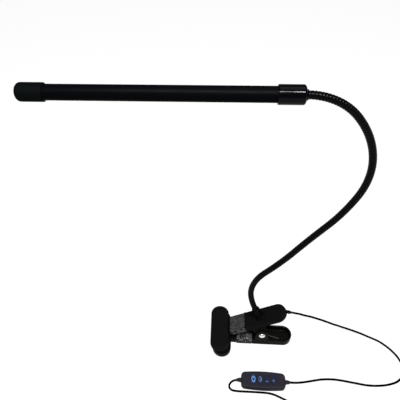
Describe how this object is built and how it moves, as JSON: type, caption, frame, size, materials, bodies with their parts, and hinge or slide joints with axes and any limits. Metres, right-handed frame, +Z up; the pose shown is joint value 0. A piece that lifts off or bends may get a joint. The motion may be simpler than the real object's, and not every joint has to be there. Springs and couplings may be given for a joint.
{
  "type": "clip on reading lamp",
  "caption": "Slim light bar on a bendable neck, held by a spring clamp with two padded jaw bars, with a thin cord and an inline push-button switch.",
  "frame": {"origin": "on the surface the lamp stands on, straight under the clamp's hinge pin", "axes": "+X along the clamp towards its handles, +Y across the clamp, +Z up; the neck and bar lie in the XZ plane and the bar runs towards -X"},
  "size_m": [0.4618, 0.1921, 0.4211],
  "materials": {
    "shell_black": "satin black anodised tube",
    "diffuser": "milky translucent",
    "board_white": "white solder mask",
    "emitter": "yellow phosphor",
    "cap_matt": "matt black",
    "cap_gloss": "glossy black",
    "steel": "zinc plated",
    "pin_steel": "bright domed rivet",
    "neck_black": "black corrugated metal hose",
    "sleeve_black": "matt black rubber",
    "lever_black": "fine textured black plastic",
    "tray_black": "black plastic with a glossy rim",
    "pad_rubber": "ribbed rubber",
    "grip_grey": "grey flecked grip tape",
    "spring_steel": "spring wire",
    "cord_black": "soft black jacket",
    "switch_dark": "dark blue-grey plastic",
    "circuit_green": "green solder mask",
    "key_dark": "moulded",
    "button_lit": "blue lit key",
    "button_blue": "dark blue key",
    "tie_black": "soft tie",
    "plug_black": "moulded plug",
    "plug_metal": "plated shell",
    "plug_tongue": "white plastic"
  },
  "bodies": {
    "base": {"lower_lever": "tray_black", "lower_jaw_pad": "pad_rubber", "lower_grip_wrap": "grip_grey", "hinge_pin": "pin_steel", "pin_retainer": "steel", "torsion_spring": "spring_steel", "cord_lead": "cord_black", "switch_relief_in": "switch_dark", "switch_bottom": "switch_dark", "switch_top": "switch_dark", "switch_board": "circuit_green", "key_switches": "key_dark", "switch_screws": "steel", "switch_relief_out": "switch_dark", "cord_tail": "cord_black", "cord_coil": "cord_black", "coil_tie": "tie_black", "cord_end": "cord_black", "plug_relief": "plug_black", "usb_grip": "plug_black", "usb_shell": "plug_metal", "usb_tongue": "plug_tongue"},
    "upper": {"upper_lever": "lever_black", "upper_jaw_pad": "pad_rubber", "upper_grip_wrap": "grip_grey", "wire_cover": "lever_black", "cover_screws": "steel", "cord_gland": "sleeve_black", "neck_sleeve": "sleeve_black", "neck_stud": "steel", "neck_locknut": "steel", "neck_1": "neck_black"},
    "neck_link_2": {"neck_2": "neck_black"},
    "neck_link_3": {"neck_3": "neck_black"},
    "neck_link_4": {"neck_4": "neck_black"},
    "neck_link_5": {"neck_5": "neck_black"},
    "neck_link_6": {"neck_6": "neck_black"},
    "neck_link_7": {"neck_7": "neck_black"},
    "head": {"neck_8": "neck_black", "neck_ferrule": "steel", "ferrule_nut": "steel", "neck_cap": "cap_gloss", "bar_housing": "shell_black", "bar_diffuser": "diffuser", "led_board": "board_white", "led_chips": "emitter", "board_screws": "steel", "end_cap": "cap_matt"},
    "key_power": {"button_power": "button_lit"},
    "key_colour": {"button_colour": "button_blue"},
    "key_dimmer": {"button_dimmer": "button_blue"},
    "key_brighter": {"button_brighter": "button_blue"}
  },
  "joints": [
    {"name": "clamp_hinge", "type": "hinge", "parent": "base", "child": "upper", "pos_m": [0, 0, 0.026], "axis": [0, 1, 0], "range_deg": [0, 35], "stiffness_Nm_per_rad": 1.5, "springref_deg": -45.84, "deforming": ["torsion_spring", "cord_lead"]},
    {"name": "neck_bend_1", "type": "hinge", "parent": "upper", "child": "neck_link_2", "pos_m": [-0.02191, 0, 0.10623], "axis": [0, 1, 0], "range_deg": [-22, 22]},
    {"name": "neck_bend_2", "type": "hinge", "parent": "neck_link_2", "child": "neck_link_3", "pos_m": [-0.00769, 0, 0.15633], "axis": [-0.7705, 0, 0.6374], "range_deg": [-22, 22]},
    {"name": "neck_bend_3", "type": "hinge", "parent": "neck_link_3", "child": "neck_link_4", "pos_m": [0.0233, 0, 0.2], "axis": [0, -1, 0], "range_deg": [-22, 22]},
    {"name": "neck_bend_4", "type": "hinge", "parent": "neck_link_4", "child": "neck_link_5", "pos_m": [0.05213, 0, 0.24518], "axis": [0.829, 0, -0.5592], "range_deg": [-22, 22]},
    {"name": "neck_bend_5", "type": "hinge", "parent": "neck_link_5", "child": "neck_link_6", "pos_m": [0.07602, 0, 0.29299], "axis": [0, 1, 0], "range_deg": [-22, 22]},
    {"name": "neck_bend_6", "type": "hinge", "parent": "neck_link_6", "child": "neck_link_7", "pos_m": [0.0781, 0, 0.34578], "axis": [-0.9677, 0, -0.2521], "range_deg": [-22, 22]},
    {"name": "neck_bend_7", "type": "hinge", "parent": "neck_link_7", "child": "head", "pos_m": [0.05227, 0, 0.39209], "axis": [0, -1, 0], "range_deg": [-22, 22]},
    {"name": "button_power_press", "type": "slide", "parent": "base", "child": "key_power", "axis": [0, 0, -1], "range_m": [0, 0.0005], "stiffness_N_per_m": 800},
    {"name": "button_colour_press", "type": "slide", "parent": "base", "child": "key_colour", "axis": [0, 0, -1], "range_m": [0, 0.0005], "stiffness_N_per_m": 800},
    {"name": "button_dimmer_press", "type": "slide", "parent": "base", "child": "key_dimmer", "axis": [0, 0, -1], "range_m": [0, 0.0005], "stiffness_N_per_m": 800},
    {"name": "button_brighter_press", "type": "slide", "parent": "base", "child": "key_brighter", "axis": [0, 0, -1], "range_m": [0, 0.0005], "stiffness_N_per_m": 800}
  ]
}
